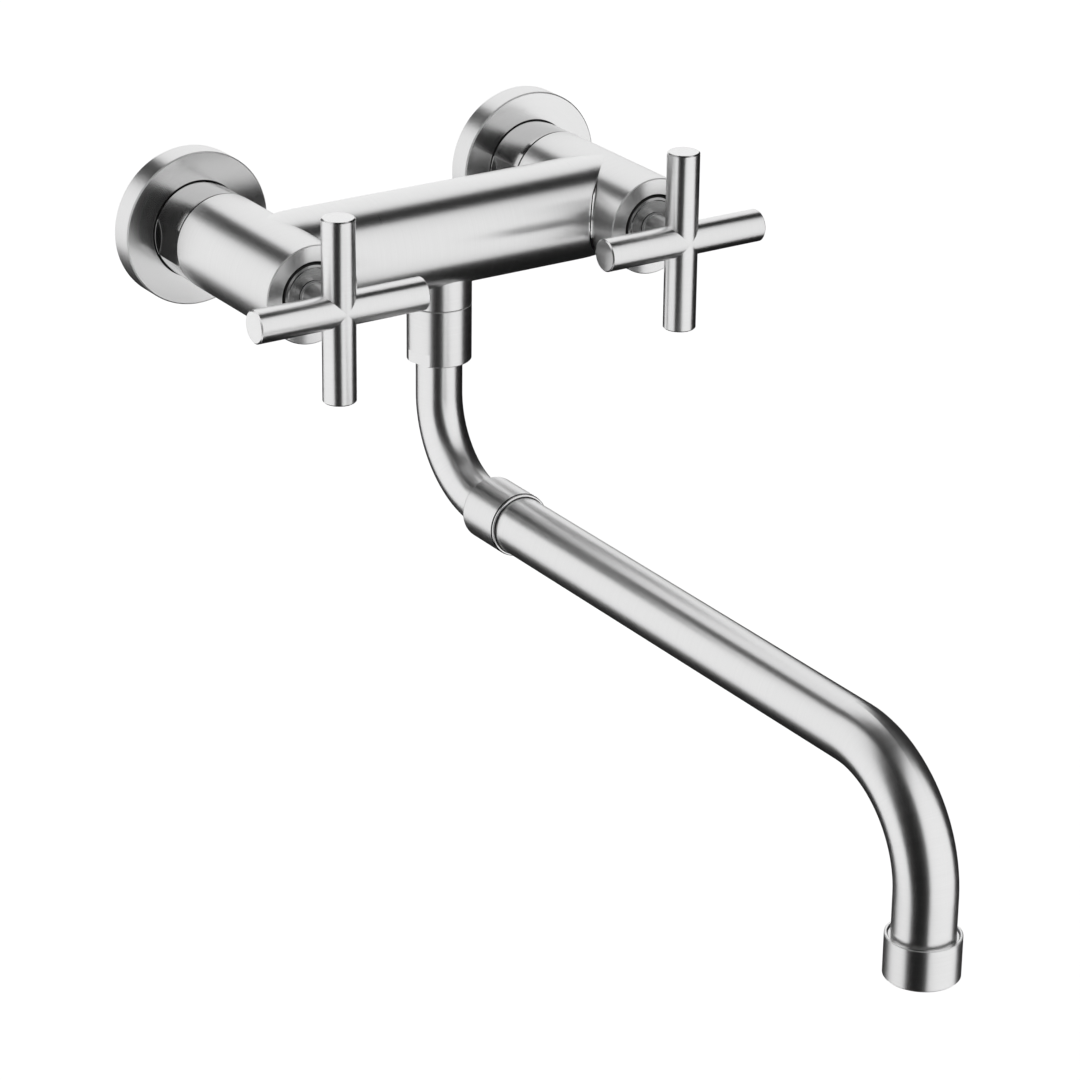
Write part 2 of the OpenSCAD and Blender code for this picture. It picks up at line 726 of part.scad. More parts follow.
// Plastic jet former: a cup with rings of slots in its floor
module jet_former() {
    former_top = wide_end_z + regulator_seal_t;
    floor_t = 1.6;
    web = 1;
    slot_w = 1.4;
    color(nylon) at_outlet() difference() {
        turned([
            [0, sleeve_lip_z], [former_d / 2, sleeve_lip_z], [former_d / 2, former_top],
            [former_d / 2 - 1.4, former_top], [former_d / 2 - 1.4, sleeve_lip_z - floor_t],
            [0, sleeve_lip_z - floor_t]
        ]);
        for (row = [1 : jet_rings]) {
            row_r = row * (slot_w + web);
            translate([0, 0, sleeve_lip_z - floor_t - eps]) difference() {
                ring(2 * row_r + slot_w, 2 * row_r - slot_w, floor_t + 2 * eps);
                for (spoke = [0 : 60 : 120])
                    rotate(spoke + 30 * row)
                        cube([4 * row_r, web, 4 * (floor_t + eps)], center = true);
            }
        }
    }
}

rosette(-1);  // rosette_left
rosette(1);  // rosette_right
wall_union(-1);  // wall_union_left
wall_union(1);  // wall_union_right
union_nut(-1);  // union_nut_left
union_nut(1);  // union_nut_right
inlet_seals();
inlet_strainers();
arm(-1);  // arm_left
arm(1);  // arm_right
bridge();
headwork(-1);  // headwork_left
headwork(1);  // headwork_right
seat_seals();
fixed_discs();
thrust_washers();
turning_disc(-1);  // turning_disc_left
turning_disc(1);  // turning_disc_right
spindle(-1);  // spindle_left
spindle(1);  // spindle_right
spindle_seals(-1);  // spindle_seals_left
spindle_seals(1);  // spindle_seals_right
handle(-1);  // handle_left
handle(1);  // handle_right
grub_screw(-1);  // grub_screw_left
grub_screw(1);  // grub_screw_right
outlet_boss();
swivel_nut();
slip_rings();
spout_tail();
tail_seals();
spout_elbow();
guide_ring();
slide_collar();
collar_ring();
slide_bush();
slide_seals();
spout_tube();
stop_ring();
guide_rail();
outlet_adapter();
regulator_sleeve();
regulator_seal();
jet_former();
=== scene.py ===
import math
import bmesh
import bpy
from mathutils import Matrix, Vector


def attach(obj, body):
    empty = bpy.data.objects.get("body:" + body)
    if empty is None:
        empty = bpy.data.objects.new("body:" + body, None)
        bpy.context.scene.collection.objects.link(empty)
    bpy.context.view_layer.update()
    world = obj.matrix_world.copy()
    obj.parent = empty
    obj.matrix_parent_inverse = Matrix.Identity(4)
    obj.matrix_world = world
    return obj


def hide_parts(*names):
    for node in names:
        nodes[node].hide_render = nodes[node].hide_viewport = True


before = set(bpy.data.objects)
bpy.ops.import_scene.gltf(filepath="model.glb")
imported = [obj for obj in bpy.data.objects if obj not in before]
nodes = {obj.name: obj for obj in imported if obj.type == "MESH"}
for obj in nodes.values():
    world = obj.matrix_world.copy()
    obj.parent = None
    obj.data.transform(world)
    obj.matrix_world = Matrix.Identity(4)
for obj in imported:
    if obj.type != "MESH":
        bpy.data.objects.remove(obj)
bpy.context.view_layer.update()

# Wall unions: two short eccentric unions, turned from brass bar. The rear stub is screwed into the inlet
# in the wall and sealed on its thread, which shows from behind; the front thread carries the union nut.

HALF_SPACING = 75.0
ARM_AXIS = HALF_SPACING / 1000


def node(tree, kind, **settings):
    """Adds a shader node and sets its own properties."""
    made = tree.nodes.new("ShaderNode" + kind)
    for key, value in settings.items():
        setattr(made, key, value)
    return made


def feed(tree, socket, value):
    """Links an output to a socket, or writes a plain value on it."""
    if isinstance(value, bpy.types.NodeSocket):
        tree.links.new(value, socket)
    else:
        socket.default_value = value


def maths(tree, operation, *values):
    """Works out one number from others, or from sockets."""
    made = node(tree, "Math", operation=operation)
    for socket, value in zip(made.inputs, values):
        feed(tree, socket, value)
    return made.outputs[0]


def vector(tree, operation, *values):
    """Works out a direction or a place, or the number that a product or a length gives."""
    made = node(tree, "VectorMath", operation=operation)
    for socket, value in zip(made.inputs, values):
        feed(tree, socket, value)
    return made.outputs["Value" if operation in ("DOT_PRODUCT", "LENGTH") else "Vector"]


def scaled(tree, source, factor):
    """A direction, place or colour times a number."""
    made = node(tree, "VectorMath", operation="SCALE")
    feed(tree, made.inputs[0], source)
    feed(tree, made.inputs["Scale"], factor)
    return made.outputs[0]


def noise(tree, place, scale, detail=2.0, roughness=0.5):
    """Soft random variation, between 0 and 1, over a place."""
    made = node(tree, "TexNoise")
    feed(tree, made.inputs["Vector"], place)
    feed(tree, made.inputs["Scale"], scale)
    feed(tree, made.inputs["Detail"], detail)
    feed(tree, made.inputs["Roughness"], roughness)
    return made.outputs[0]


def empty_group(name, numbers, colours, vectors=()):
    """A shader group with its inputs, which puts out a colour, a roughness and a height."""
    group = bpy.data.node_groups.new(name, "ShaderNodeTree")
    for kind, names in (("Vector", vectors), ("Color", colours), ("Float", numbers)):
        for label in names:
            group.interface.new_socket(label, in_out="INPUT", socket_type="NodeSocket" + kind)
    for kind, label in (("Color", "Colour"), ("Float", "Roughness"), ("Float", "Height")):
        group.interface.new_socket(label, in_out="OUTPUT", socket_type="NodeSocket" + kind)
    return group, group.nodes.new("NodeGroupInput").outputs, group.nodes.new("NodeGroupOutput").inputs


FINE_SHARE, BROAD_SCALE, MARK_SWING = 0.65, 0.17, 4.0


def tool_marks_group():
    """Fine lines left by a belt or a turning tool: they vary colour, roughness and height."""
    group, given, result = empty_group("tool marks", ("Roughness", "Colour spread", "Roughness spread"),
                                       ("Colour",), ("Lines",))
    fine = noise(group, given["Lines"], 1.0, detail=3.0, roughness=0.7)
    broad = noise(group, given["Lines"], BROAD_SCALE)
    both = maths(group, "ADD", maths(group, "MULTIPLY", fine, FINE_SHARE),
                 maths(group, "MULTIPLY", broad, 1.0 - FINE_SHARE))
    swing = maths(group, "MULTIPLY", maths(group, "SUBTRACT", both, 0.5), MARK_SWING)
    lightness = maths(group, "MULTIPLY_ADD", swing, given["Colour spread"], 1.0)
    feed(group, result["Colour"], scaled(group, given["Colour"], lightness))
    feed(group, result["Roughness"],
         maths(group, "MULTIPLY_ADD", swing, given["Roughness spread"], given["Roughness"]))
    feed(group, result["Height"], both)
    return group


TOOL_MARKS = tool_marks_group()
SQUARE_ON, SLANTED = 0.95, 0.3
PAINTED_SHADE_DARKER = 0.97


def marked_metal(name, coordinates, colour, roughness, spread, rough_spread, depth, anisotropy,
                 face=None, edge=None):
    """A bare metal finish whose tool marks follow the coordinates of its piece. Faces turned on a lathe
    and broken edges may have a roughness of their own, and gaps and seams chosen by place get painted shade:
    nearly black, dull and not metallic."""
    finish = bpy.data.materials.new(name)
    finish.use_nodes = True
    tree = finish.node_tree
    shader = tree.nodes["Principled BSDF"]
    tangent, lines, facing, painted_shade = coordinates(tree)
    rough, tint = roughness, (*colour, 1.0)
    if facing is not None and face is not None:
        faced = maths(tree, "GREATER_THAN", facing, SQUARE_ON)
        edged = maths(tree, "SUBTRACT", maths(tree, "GREATER_THAN", facing, SLANTED), faced)
        rough = maths(tree, "MULTIPLY_ADD", faced, face - roughness, roughness)
        rough = maths(tree, "MULTIPLY_ADD", edged, edge - roughness, rough)
    # Painted shade: where the mask is 1 the colour goes nearly black, dull and not metallic.
    if painted_shade is None:
        shader.inputs["Metallic"].default_value = 1.0
    else:
        tint = scaled(tree, colour, maths(tree, "MULTIPLY_ADD", painted_shade, -PAINTED_SHADE_DARKER, 1.0))
        rough = maths(tree, "MAXIMUM", rough, painted_shade)
        feed(tree, shader.inputs["Metallic"], maths(tree, "SUBTRACT", 1.0, painted_shade))
    marks = node(tree, "Group", node_tree=TOOL_MARKS)
    feed(tree, marks.inputs["Lines"], lines)
    feed(tree, marks.inputs["Colour"], tint)
    feed(tree, marks.inputs["Roughness"], rough)
    feed(tree, marks.inputs["Colour spread"], spread)
    feed(tree, marks.inputs["Roughness spread"], rough_spread)
    bump = node(tree, "Bump")
    bump.inputs["Strength"].default_value = 1.0
    bump.inputs["Distance"].default_value = depth
    feed(tree, bump.inputs["Height"], marks.outputs["Height"])
    feed(tree, shader.inputs["Base Color"], marks.outputs["Colour"])
    feed(tree, shader.inputs["Roughness"], marks.outputs["Roughness"])
    feed(tree, shader.inputs["Normal"], bump.outputs[0])
    shader.inputs["Anisotropic"].default_value = anisotropy
    feed(tree, shader.inputs["Tangent"], tangent)
    return finish


BELT_PITCH, FACE_LEAN = 2400.0, 0.3


def on_the_piece(tree, direction):
    """A direction of the piece, turned with it into the room, for the highlight to stretch along."""
    made = node(tree, "VectorTransform", vector_type="VECTOR", convert_from="OBJECT", convert_to="WORLD")
    feed(tree, made.inputs[0], direction)
    return made.outputs[0]


def round_the_axis(axis, centre, pitch=BELT_PITCH, length=28.0,
                   shade_within_r=None, shade_beyond_r=None, lit_from=None, lit_to=None):
    """Marks that run round an axis: on a wall the highlight stretches along it, on a face outwards.
    Whatever lies inside the first radius given, beyond the second, or outside the two limits along the axis,
    all in metres, gets painted shade."""
    def coordinates(tree):
        where = node(tree, "TexCoord")
        offset = vector(tree, "SUBTRACT", where.outputs["Object"], centre)
        across = vector(tree, "MULTIPLY", offset, [1.0 - abs(a) for a in axis])
        outward = vector(tree, "NORMALIZE", across)
        tangent = on_the_piece(tree, vector(tree, "ADD", axis, scaled(tree, outward, FACE_LEAN)))
        along, radius = vector(tree, "DOT_PRODUCT", offset, axis), vector(tree, "LENGTH", across)
        lines = vector(tree, "ADD", scaled(tree, across, length),
                       scaled(tree, axis, maths(tree, "MULTIPLY", maths(tree, "ADD", along, radius), pitch)))
        facing = maths(tree, "ABSOLUTE", vector(tree, "DOT_PRODUCT", where.outputs["Normal"], axis))
        # Painted shade mask: 1 inside the inner radius, beyond the outer one, or outside the lit stretch along
        # the axis.
        painted_shade = None
        for distance, past, limit in ((radius, "LESS_THAN", shade_within_r), (radius, "GREATER_THAN", shade_beyond_r),
                                      (along, "LESS_THAN", lit_from), (along, "GREATER_THAN", lit_to)):
            if limit is not None:
                shade_part = maths(tree, past, distance, limit)
                painted_shade = shade_part if painted_shade is None else maths(tree, "MAXIMUM", painted_shade, shade_part)
        return tangent, lines, facing, painted_shade
    return coordinates


def dress(name, finish):
    """Gives a carried-over CAD node its finish."""
    slots = nodes[name].data.materials
    slots.clear()
    slots.append(finish)


def turned_brass(name, axis, centre):
    """Plain brass with the coarse marks of a lathe tool."""
    return marked_metal(name, round_the_axis(axis, centre, pitch=3400.0, length=20.0),
                        colour=(0.78, 0.56, 0.27), roughness=0.3, spread=0.10, rough_spread=0.04,
                        depth=0.00001, anisotropy=0.4)


def finished_piece(name, skin, crease=35.0):
    """Turns a bmesh into an object with smooth faces and crisp edges."""
    bmesh.ops.recalc_face_normals(skin, faces=skin.faces)
    mesh = bpy.data.meshes.new(name)
    skin.to_mesh(mesh)
    skin.free()
    mesh.shade_smooth()
    mesh.set_sharp_from_angle(angle=math.radians(crease))
    piece = bpy.data.objects.new(name, mesh)
    bpy.context.scene.collection.objects.link(piece)
    return piece


def ring_mesh(name, rings, place, around=96, closed=False):
    """Joins rings of points, each (radius or radius by angle, distance, shift), into one skin.
    A radius of 0 is a single point. Distances run along the piece's own axis, in millimetres."""
    skin = bmesh.new()
    loops = []
    for radius, distance, shift in rings:
        if radius == 0:
            loops.append([skin.verts.new(place(shift, 0, distance))])
            continue
        loop = []
        for step in range(around):
            angle = 2 * math.pi * step / around
            reach = radius(angle) if callable(radius) else radius
            point = place(shift + reach * math.cos(angle), reach * math.sin(angle), distance)
            loop.append(skin.verts.new(point))
        loops.append(loop)
    pairs = list(zip(loops, loops[1:])) + ([(loops[-1], loops[0])] if closed else [])
    for first, second in pairs:
        for step in range(around):
            after = (step + 1) % around
            if len(first) == 1:
                skin.faces.new((first[0], second[after], second[step]))
            elif len(second) == 1:
                skin.faces.new((first[step], first[after], second[0]))
            else:
                skin.faces.new((first[step], first[after], second[after], second[step]))
    return finished_piece(name, skin)


def on_arm(side):
    """Millimetres on an arm's own axis, counted from the wall, to metres in the frame of the mixer. Shapes
    are written in millimetres here, and what a material or a place needs in metres."""
    return lambda x, y, z: Vector((side * ARM_AXIS + x / 1000, -z / 1000, y / 1000))


STUB_R, STUB_L, STUB_BEVEL = 10.45, 18.0, 0.8
THREAD_PITCH, THREAD_DEPTH, THREAD_RUN_OUT, ROOT_SHARE = 1.814, 1.16, 1.2, 0.12
UNION_R, UNION_FRONT, UNION_NECK, UNION_NECK_R, UNION_BORE = 13.2, 17.0, 5.0, 12.7, 6.0
ECCENTRIC = 1.5
STUB_THREAD_STEPS, FRONT_THREAD_STEPS = 110, 72


def thread_radius(crest, distance, start, end):
    """Radius of a pipe thread by angle at one distance, run out at both ends."""
    ease = min(1.0, (distance - start) / THREAD_RUN_OUT, (end - distance) / THREAD_RUN_OUT)
    room = crest - STUB_BEVEL + min(distance - start, end - distance, STUB_BEVEL)

    def radius(angle):
        turn = (distance / THREAD_PITCH - angle / (2 * math.pi)) % 1.0
        flank = abs(2 * turn - 1)
        rounded = min(1.0, max(0.0, (flank - ROOT_SHARE) / (1 - 2 * ROOT_SHARE)))
        return min(room, crest - THREAD_DEPTH * max(0.0, ease) * (1 - rounded))
    return radius


def threaded_rings(crest, start, end, steps, shift):
    """The rings of one threaded stretch, for ring_mesh."""
    distances = [start + (end - start) * k / steps for k in range(steps + 1)]
    return [(thread_radius(crest, distance, start, end), distance, shift) for distance in distances]


for side, hand in ((-1, "left"), (1, "right")):
    off, half = ECCENTRIC * side, ECCENTRIC * side / 2
    rings = [(UNION_BORE, -STUB_L, half), *threaded_rings(STUB_R, -STUB_L, 0.0, STUB_THREAD_STEPS, off),
             (UNION_NECK_R, 0.0, half), (UNION_NECK_R, UNION_NECK, half),
             *threaded_rings(UNION_R, UNION_NECK, UNION_FRONT, FRONT_THREAD_STEPS, 0.0),
             (UNION_BORE, UNION_FRONT, half)]
    union = ring_mesh("wall_union_threaded_" + hand, rings, on_arm(side), around=72, closed=True)
    union.data.materials.append(turned_brass("union brass " + hand, (0, 1, 0), (side * ARM_AXIS, 0, 0)))
    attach(union, "mixer")
    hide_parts("wall_union_" + hand)

# Rosettes: two plain round covers pressed from stainless sheet. They are pushed over the union nuts
# against the wall, and are brushed like the whole mixer: the belt's lines run round them.

# Painted shade on each rosette's bore wall, which bounds the ring gap round the nut, within 19.17 mm of the
# axis.
ROSETTE_GAP_SHADE_R = 0.01917


def brushed_steel(name, coordinates, face=0.25, edge=0.55):
    """Stainless steel brushed with a fine belt."""
    return marked_metal(name, coordinates, colour=(0.8, 0.8, 0.8), roughness=0.3, spread=0.035,
                        rough_spread=0.035, depth=0.0000022, anisotropy=0.5, face=face, edge=edge)


for side, hand in ((-1, "left"), (1, "right")):
    round_rosette = round_the_axis((0, 1, 0), (side * ARM_AXIS, 0, 0), shade_within_r=ROSETTE_GAP_SHADE_R)
    dress("rosette_" + hand, brushed_steel("brushed steel rosette " + hand, round_rosette, face=0.2))

# Union nuts, inlet seals and strainers: the captive nuts of turned steel draw the arms onto the unions by
# two milled flats. A rubber flat washer seals each joint, a cup strainer sits in each inlet, and a rubber
# ring on each nut grips its rosette.

NUT_R, NUT_REAR, NUT_FRONT, NUT_FLATS, NUT_FLAT_REAR = 18.8, 5.1, 28.1, 17.4, 11.0
NUT_THREAD_R, NUT_FLOOR, NUT_COLLAR_R, NUT_REAR_BEVEL = 13.25, 21.5, 11.0, 0.5
MILL_HALF, MILL_PAST = 19.5, 1.0
BROKEN_EDGE = 0.22
ROSETTE_T = 10.1
SEAM_SHADE = 0.3


def union_nut(side, hand):
    """The nut as turned, with its two flats milled and all its edges broken."""
    profile = [(NUT_THREAD_R, NUT_REAR, 0), (NUT_R - NUT_REAR_BEVEL, NUT_REAR, 0),
               (NUT_R, NUT_REAR + NUT_REAR_BEVEL, 0), (NUT_R, NUT_FRONT, 0), (NUT_COLLAR_R, NUT_FRONT, 0),
               (NUT_COLLAR_R, NUT_FLOOR, 0), (NUT_THREAD_R, NUT_FLOOR, 0)]
    nut = ring_mesh("union_nut_milled_" + hand, profile, on_arm(side), around=128, closed=True)
    cutter = bmesh.new()
    for way in (-1, 1):
        near, far = way * NUT_FLATS, way * (NUT_R + MILL_PAST)
        box = [cutter.verts.new(on_arm(side)(x, y, z)) for x in (near, far) for y in (-MILL_HALF, MILL_HALF)
               for z in (NUT_FLAT_REAR, NUT_FRONT + MILL_PAST)]
        for corners in ((0, 1, 3, 2), (4, 6, 7, 5), (0, 4, 5, 1), (2, 3, 7, 6), (0, 2, 6, 4), (1, 5, 7, 3)):
            cutter.faces.new([box[k] for k in corners])
    cutter = finished_piece("nut_mill_" + hand, cutter)
    milled = nut.modifiers.new("flats", "BOOLEAN")
    milled.object, milled.operation = cutter, "DIFFERENCE"
    broken = nut.modifiers.new("broken edges", "BEVEL")
    broken.width, broken.segments, broken.angle_limit = BROKEN_EDGE / 1000, 2, math.radians(35)
    keep_the_modified_mesh(nut, cutter)
    nut.data.set_sharp_from_angle(angle=math.radians(20))
    return nut


def keep_the_modified_mesh(piece, tool):
    """Makes what the modifiers show the piece's own mesh, and puts the cutting tool away."""
    shape = bpy.data.meshes.new_from_object(piece.evaluated_get(bpy.context.evaluated_depsgraph_get()))
    piece.modifiers.clear()
    piece.data = shape
    shape.materials.clear()
    bpy.data.objects.remove(tool)


for side, hand in ((-1, "left"), (1, "right")):
    nut = union_nut(side, hand)
    # Painted shade on the nut's front 0.3 mm, at its seam with the arm, and on all of it that lies inside the
    # rosette.
    round_nut = round_the_axis((0, 1, 0), (side * ARM_AXIS, 0, 0), lit_from=-(NUT_FRONT - SEAM_SHADE) / 1000,
                               lit_to=-ROSETTE_T / 1000)
    nut.data.materials.append(marked_metal(
        "turned steel nut " + hand, round_nut, colour=(0.6, 0.6, 0.6), roughness=0.12, spread=0.035,
        rough_spread=0.02, depth=0.0000005, anisotropy=0.3))
    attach(nut, "mixer")
    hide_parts("union_nut_" + hand)

PATCH_SCALE, GRAIN_SHARE = 180.0, 0.7


def surface_grain_group():
    """Fine irregular grain of a moulded, pressed or fired surface."""
    group, given, result = empty_group("surface grain", ("Grain size", "Roughness", "Roughness spread"),
                                       ("Light", "Dark"))
    place = node(group, "TexCoord").outputs["Object"]
    grain = noise(group, place, given["Grain size"], detail=4.0)
    patches = noise(group, place, PATCH_SCALE)
    share = maths(group, "ADD", maths(group, "MULTIPLY", grain, GRAIN_SHARE),
                  maths(group, "MULTIPLY", patches, 1.0 - GRAIN_SHARE))
    mixed = node(group, "Mix", data_type="RGBA")
    dark_input, light_input, colour_output = mixed.inputs[6], mixed.inputs[7], mixed.outputs[2]
    feed(group, mixed.inputs["Factor"], share)
    feed(group, dark_input, given["Dark"])
    feed(group, light_input, given["Light"])
    swing = maths(group, "SUBTRACT", share, 0.5)
    feed(group, result["Colour"], colour_output)
    feed(group, result["Roughness"],
         maths(group, "MULTIPLY_ADD", swing, given["Roughness spread"], given["Roughness"]))
    feed(group, result["Height"], share)
    return group


SURFACE_GRAIN = surface_grain_group()


def grained(name, dark, light, roughness, rough_spread, grain_size, depth):
    """A non-metal finish with a fine surface grain."""
    finish = bpy.data.materials.new(name)
    finish.use_nodes = True
    tree = finish.node_tree
    shader = tree.nodes["Principled BSDF"]
    grain = node(tree, "Group", node_tree=SURFACE_GRAIN)
    feed(tree, grain.inputs["Grain size"], grain_size)
    feed(tree, grain.inputs["Light"], (*light, 1.0))
    feed(tree, grain.inputs["Dark"], (*dark, 1.0))
    feed(tree, grain.inputs["Roughness"], roughness)
    feed(tree, grain.inputs["Roughness spread"], rough_spread)
    bump = node(tree, "Bump")
    bump.inputs["Distance"].default_value = depth
    feed(tree, bump.inputs["Height"], grain.outputs["Height"])
    feed(tree, shader.inputs["Base Color"], grain.outputs["Colour"])
    feed(tree, shader.inputs["Roughness"], grain.outputs["Roughness"])
    feed(tree, shader.inputs["Normal"], bump.outputs[0])
    return finish


SEAL_RUBBER = grained("seal rubber", dark=(0.012, 0.012, 0.013), light=(0.03, 0.03, 0.032), roughness=0.6,
                      rough_spread=0.3, grain_size=2600.0, depth=0.00004)
WHITE_NYLON = grained("moulded nylon", dark=(0.74, 0.74, 0.7), light=(0.86, 0.86, 0.83), roughness=0.42,
                      rough_spread=0.25, grain_size=1500.0, depth=0.00002)
GRIP_R, GRIP_CORD_R, GRIP_SET, GRIP_STEPS = 20.1, 1.3, 7.15, 16
dress("inlet_seals", SEAL_RUBBER)
dress("inlet_strainers", WHITE_NYLON)
for side, hand in ((-1, "left"), (1, "right")):
    turns = [2 * math.pi * k / GRIP_STEPS for k in range(GRIP_STEPS)]
    cord = [(GRIP_R + GRIP_CORD_R * math.cos(turn), GRIP_SET + GRIP_CORD_R * math.sin(turn), 0)
            for turn in turns]
    grip = ring_mesh("rosette_grip_ring_" + hand, cord, on_arm(side), closed=True)
    grip.data.materials.append(SEAL_RUBBER)
    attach(grip, "mixer")

# Arms and bridge: the valve housings are turned from stainless bar and brushed. The bridge is a thick
# tube, coped to saddle both arms and brazed on, with a small dressed fillet round each joint.

ARM_REAR, ARM_MOUTH_SHADE_R = 28.5, 0.01281

for side, hand in ((-1, "left"), (1, "right")):
    # Painted shade on the mouth's wall and floor round the headwork, within 12.81 mm of the axis, and on the
    # arm's rear 0.3 mm with its tail inside the nut.
    round_arm = round_the_axis((0, 1, 0), (side * ARM_AXIS, 0, 0), shade_within_r=ARM_MOUTH_SHADE_R,
                               lit_to=-(ARM_REAR + SEAM_SHADE) / 1000)
    dress("arm_" + hand, brushed_steel("brushed steel arm " + hand, round_arm))

BRIDGE_SET = 0.0632
BRIDGE_R, BRIDGE_BORE_R, ARM_R = 19.8, 15.2, 19.0
CROWN_R, CROWN_FROM = 19.0, 60.0
FILLET, FILLET_ENDS, FILLET_FADE = 1.3, 15.5, 5.0
SADDLE_OVERLAP, COPE_PASSES = 0.05, 8
OUTLET_HOLE_R, DRILL_FROM, DRILL_TO = 7.6, 10, 24


def bridge_radius(x):
    """The tube's radius, eased down to the arms' crowns near its ends."""
    ease = min(1.0, max(0.0, (abs(x) - CROWN_FROM) / (HALF_SPACING - CROWN_FROM)))
    return BRIDGE_R + (CROWN_R - BRIDGE_R) * ease * ease * (3 - 2 * ease)


def coped_end(angle, bore=False):
    """How far from the middle the tube ends, where it meets the arm's round wall."""
    x = CROWN_FROM
    for _ in range(COPE_PASSES):
        height = (BRIDGE_BORE_R if bore else bridge_radius(x)) * abs(math.sin(angle))
        x = HALF_SPACING - math.sqrt(max(ARM_R ** 2 - height ** 2, 0.0))
    return x


def bridge_point(x, r, angle):
    """A point of the bridge, x along it and at an angle from its front, in metres."""
    return Vector((x / 1000, -BRIDGE_SET - r * math.cos(angle) / 1000, r * math.sin(angle) / 1000))


def bridge_tube():
    """The coped tube: each joint's fillet runs out before the tube's top and underside."""
    skin = bmesh.new()
    around = 160
    near = [0.0, 0.06, 0.13, 0.22, 0.33, 0.46, 0.62, 0.82, 1.05, 1.3, 1.8, 3.0, 5.0, 8.0, 12.0, 17.0]
    outer, inner = [], []
    for step in range(around):
        angle = 2 * math.pi * step / around
        end = coped_end(angle) + SADDLE_OVERLAP
        fillet = FILLET * min(1.0, max(0.0, (FILLET_ENDS - BRIDGE_R * abs(math.sin(angle))) / FILLET_FADE))
        row = []
        for back in near + [None] + near[::-1]:
            side = -1 if len(row) < len(near) else 1
            x = 0.0 if back is None else side * (end - back)
            lift = 0.0
            if back is not None and back < fillet:
                lift = fillet - math.sqrt(fillet ** 2 - (fillet - back) ** 2)
            row.append(skin.verts.new(bridge_point(x, bridge_radius(x) + lift, angle)))
        outer.append(row)
        end = coped_end(angle, bore=True)
        inner.append([skin.verts.new(bridge_point(x, BRIDGE_BORE_R, angle)) for x in (-end, end)])
    for step in range(around):
        after = (step + 1) % around
        for a, b in zip(range(len(outer[0]) - 1), range(1, len(outer[0]))):
            skin.faces.new((outer[step][a], outer[step][b], outer[after][b], outer[after][a]))
        skin.faces.new((inner[step][0], inner[after][0], inner[after][1], inner[step][1]))
        for place in (0, -1):
            skin.faces.new((outer[step][place], outer[after][place], inner[after][place], inner[step][place]))
    return finished_piece("bridge_tube", skin, crease=50.0)


bridge = bridge_tube()
drill = ring_mesh(
    "outlet_drill",
    [(0, DRILL_FROM, 0), (OUTLET_HOLE_R, DRILL_FROM, 0), (OUTLET_HOLE_R, DRILL_TO, 0), (0, DRILL_TO, 0)],
    lambda x, y, z: Vector((x / 1000, -BRIDGE_SET - y / 1000, -z / 1000)), around=48)
cut = bridge.modifiers.new("outlet hole", "BOOLEAN")
cut.object, cut.operation = drill, "DIFFERENCE"
keep_the_modified_mesh(bridge, drill)
round_bridge = round_the_axis((1, 0, 0), (0, -BRIDGE_SET, 0))
bridge.data.materials.append(brushed_steel("brushed steel bridge", round_bridge, face=0.1, edge=0.1))
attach(bridge, "mixer")
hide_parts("bridge")

# Headworks: each quarter-turn headwork holds a pair of ceramic discs on a rubber seat seal. The spindle
# turns the outer disc by its blade. The nickel-plated brass body is screwed into the arm up to its flange.

CERAMIC = grained("fired ceramic", dark=(0.8, 0.79, 0.75), light=(0.9, 0.89, 0.86), roughness=0.16,
                  rough_spread=0.1, grain_size=4000.0, depth=0.000004)
FLANGE_SHADE_FROM_R = 0.0114
dress("seat_seals", SEAL_RUBBER)
dress("fixed_discs", CERAMIC)
dress("thrust_washers", WHITE_NYLON)
for side, hand in ((-1, "left"), (1, "right")):
    middle = (side * ARM_AXIS, 0, 0)
    # Painted shade on the flange's edge, beyond 11.4 mm of the axis.
    round_body = round_the_axis((0, 1, 0), middle, pitch=3000.0, length=30.0, shade_beyond_r=FLANGE_SHADE_FROM_R)
    # The body's grey, 0.42, is plated nickel darkened further: part of it is painted shade of the recess and
    # the handle over the disc.
    dress("headwork_" + hand, marked_metal(
        "nickel plated body " + hand, round_body, colour=(0.42, 0.42, 0.42), roughness=0.26, spread=0.05,
        rough_spread=0.04, depth=0.000002, anisotropy=0.4))
    dress("spindle_" + hand, turned_brass("spindle brass " + hand, (0, 1, 0), middle))
    dress("turning_disc_" + hand, CERAMIC)
    dress("spindle_seals_" + hand, SEAL_RUBBER)

# Cross handles: two crossing solid bars on a short neck, welded, milled and brushed round each bar. The
# neck's spline bore sits on the spindle and a hexagon-socket grub screw under the neck holds it.

BAR_R = 0.0063
HANDLE_SET = 0.1162
NECK_RIM_SHADE_FROM, RIM_SHADE = 0.0176, 0.7
BAR_MARK_LENGTH = 60.0


